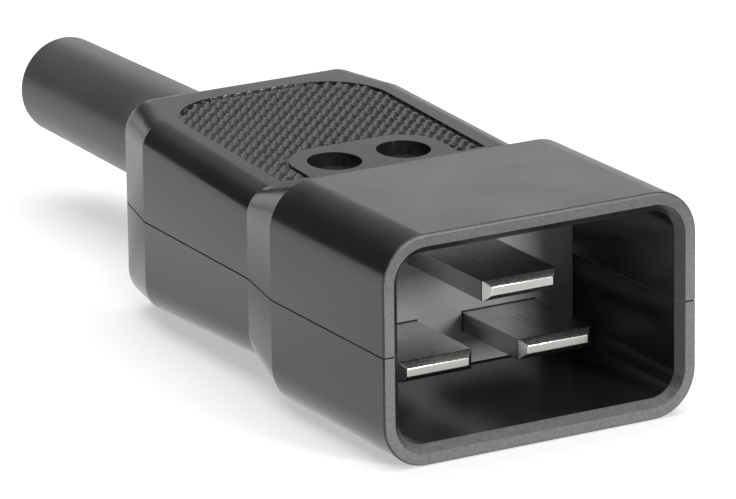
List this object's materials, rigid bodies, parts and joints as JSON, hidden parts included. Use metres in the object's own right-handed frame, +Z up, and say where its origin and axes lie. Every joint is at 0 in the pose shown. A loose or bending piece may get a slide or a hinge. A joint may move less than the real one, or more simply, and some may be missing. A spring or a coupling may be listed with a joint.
{
  "type": "rewirable power cord plug",
  "caption": "Rewirable in-line power cord plug: a rectangular shroud round flat blades, a textured grip housing in screwed halves, and a sleeve that guards the cord.",
  "frame": {"origin": "centre of the plug's length and width, at the level of the shroud's underside", "axes": "+Y from the mouth of the shroud to the cord guard, +Z up with the earth blade above the power blades"},
  "size_m": [0.0336, 0.0962, 0.0221],
  "materials": {
    "housing_plastic": "fine moulded texture, black",
    "carrier_plastic": "smooth moulded, dark grey",
    "blade_metal": "nickel plated, bright",
    "screw_steel": "zinc plated",
    "guard_rubber": "soft black, matte"
  },
  "bodies": {
    "root": {"upper_shell": "housing_plastic", "lower_shell": "housing_plastic", "contact_carrier": "carrier_plastic", "cord_clamp": "carrier_plastic", "cord_guard": "guard_rubber", "line_blade": "blade_metal", "line_wire_plate": "screw_steel", "line_terminal_screw": "screw_steel", "neutral_blade": "blade_metal", "neutral_wire_plate": "screw_steel", "neutral_terminal_screw": "screw_steel", "earth_blade": "blade_metal", "earth_wire_plate": "screw_steel", "earth_terminal_screw": "screw_steel", "housing_screw_left": "screw_steel", "housing_nut_left": "screw_steel", "cord_clamp_screw_left": "screw_steel", "housing_screw_right": "screw_steel", "housing_nut_right": "screw_steel", "cord_clamp_screw_right": "screw_steel"}
  },
  "joints": []
}
